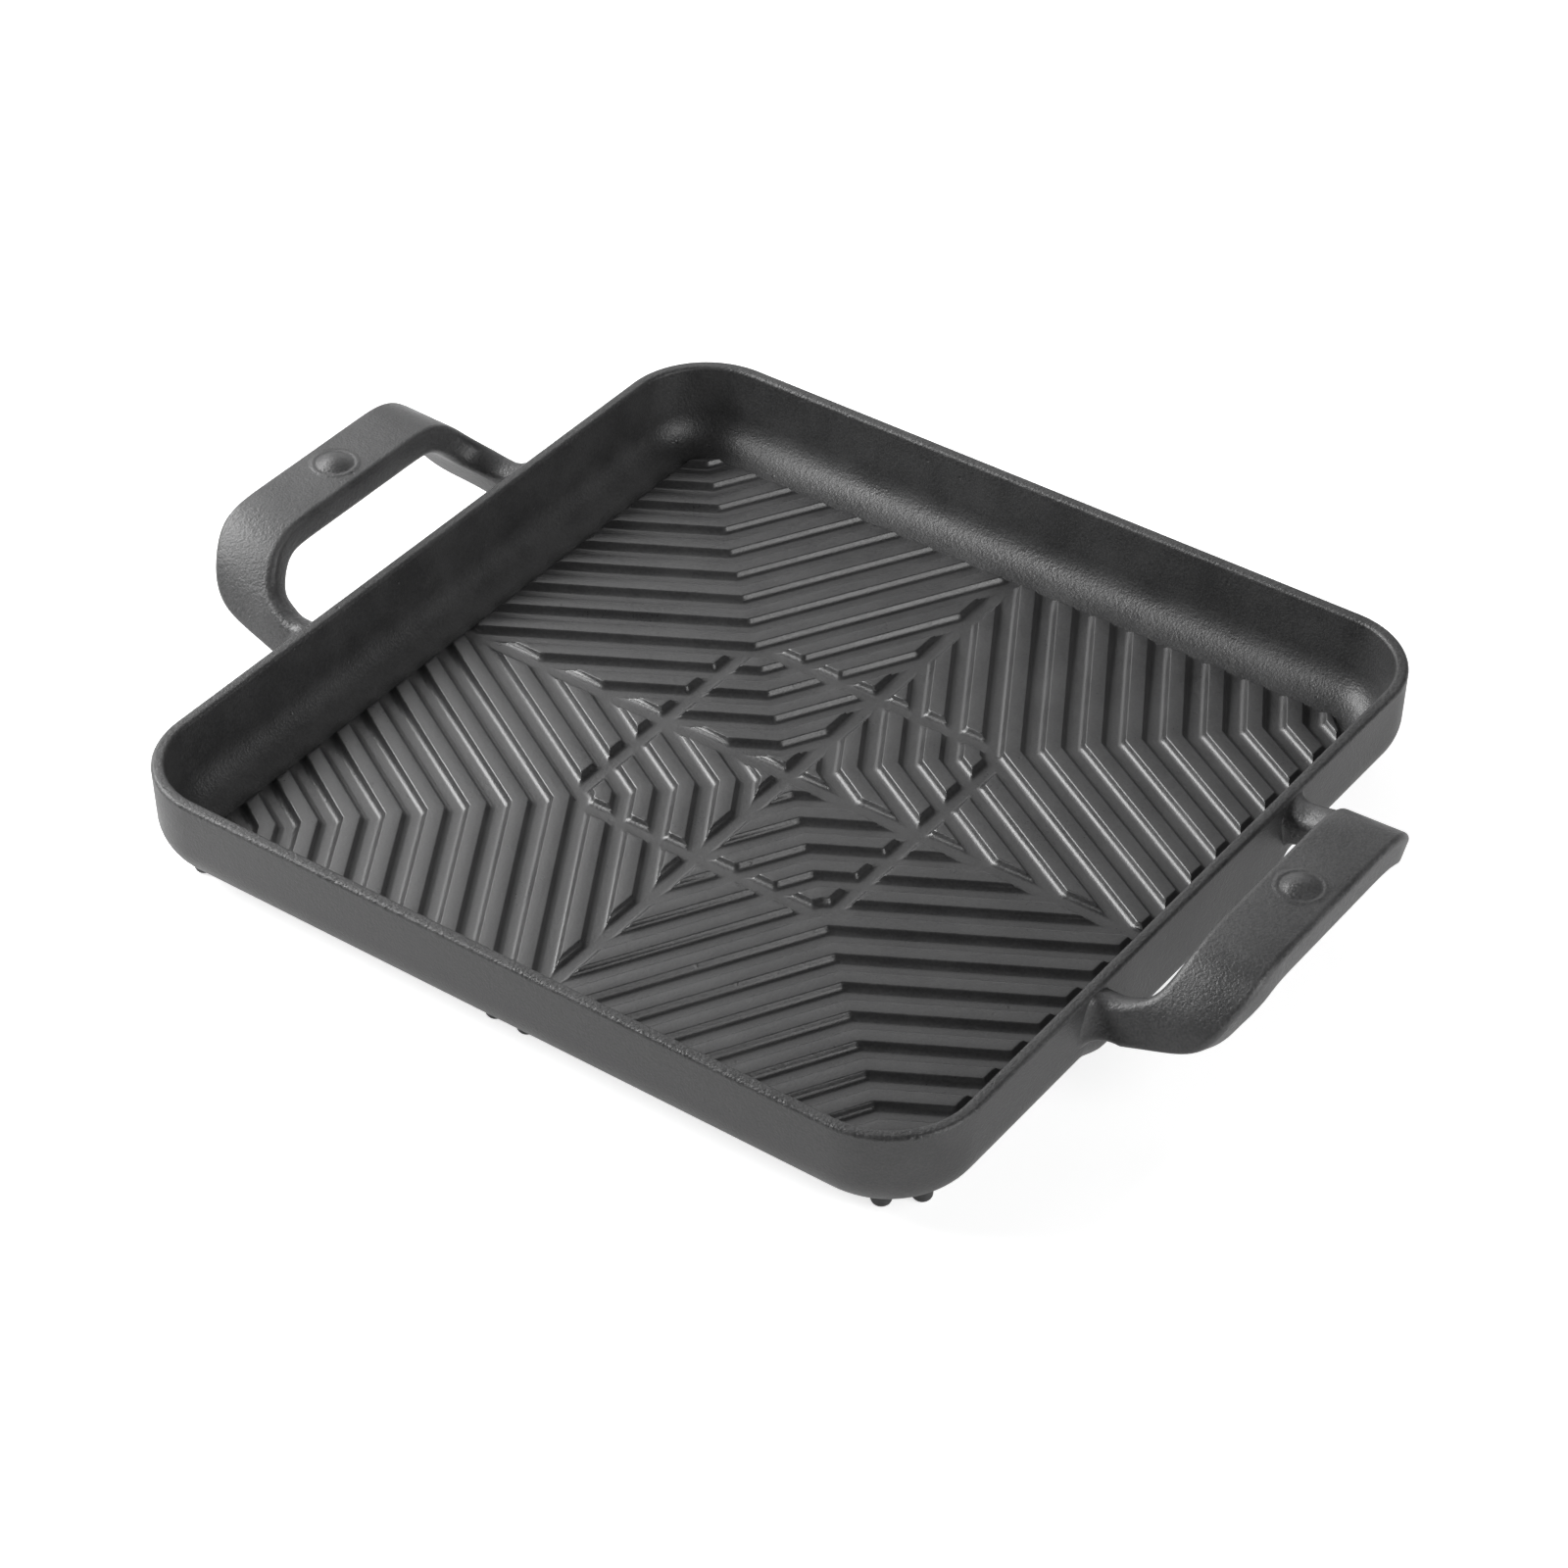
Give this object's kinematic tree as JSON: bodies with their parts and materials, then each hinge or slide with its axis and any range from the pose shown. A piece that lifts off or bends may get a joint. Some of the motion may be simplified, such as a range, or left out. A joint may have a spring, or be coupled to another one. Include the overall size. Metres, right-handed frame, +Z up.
{
  "type": "korean barbecue pan",
  "caption": "Square cast-iron grill pan for table barbecue, with a star-ribbed floor, coved upright wall, loop handles on opposite sides and guide ridges under the base.",
  "frame": {"origin": "middle of the pan, on the plane that the feet of the guide ridges stand on", "axes": "+X towards the right handle, +Y towards the back wall, +Z up out of the pan"},
  "size_m": [0.3032, 0.23, 0.0441],
  "materials": {
    "wall_iron": "sand-cast, seasoned, satin, worn lighter along the rim",
    "floor_iron": "sand-cast, seasoned, satin",
    "handle_iron": "sand-cast, matt, grainy at the bends",
    "base_iron": "sand-cast, matt"
  },
  "bodies": {
    "root": {"pan_wall": "wall_iron", "ribbed_floor": "floor_iron", "handle_left": "handle_iron", "handle_right": "handle_iron", "boss_left": "handle_iron", "boss_right": "handle_iron", "ridge_right_1": "base_iron", "ridge_right_2": "base_iron", "ridge_back_right_1": "base_iron", "ridge_back_right_2": "base_iron", "ridge_back_1": "base_iron", "ridge_back_2": "base_iron", "ridge_back_left_1": "base_iron", "ridge_back_left_2": "base_iron", "ridge_left_1": "base_iron", "ridge_left_2": "base_iron", "ridge_front_left_1": "base_iron", "ridge_front_left_2": "base_iron", "ridge_front_1": "base_iron", "ridge_front_2": "base_iron", "ridge_front_right_1": "base_iron", "ridge_front_right_2": "base_iron"}
  },
  "joints": []
}
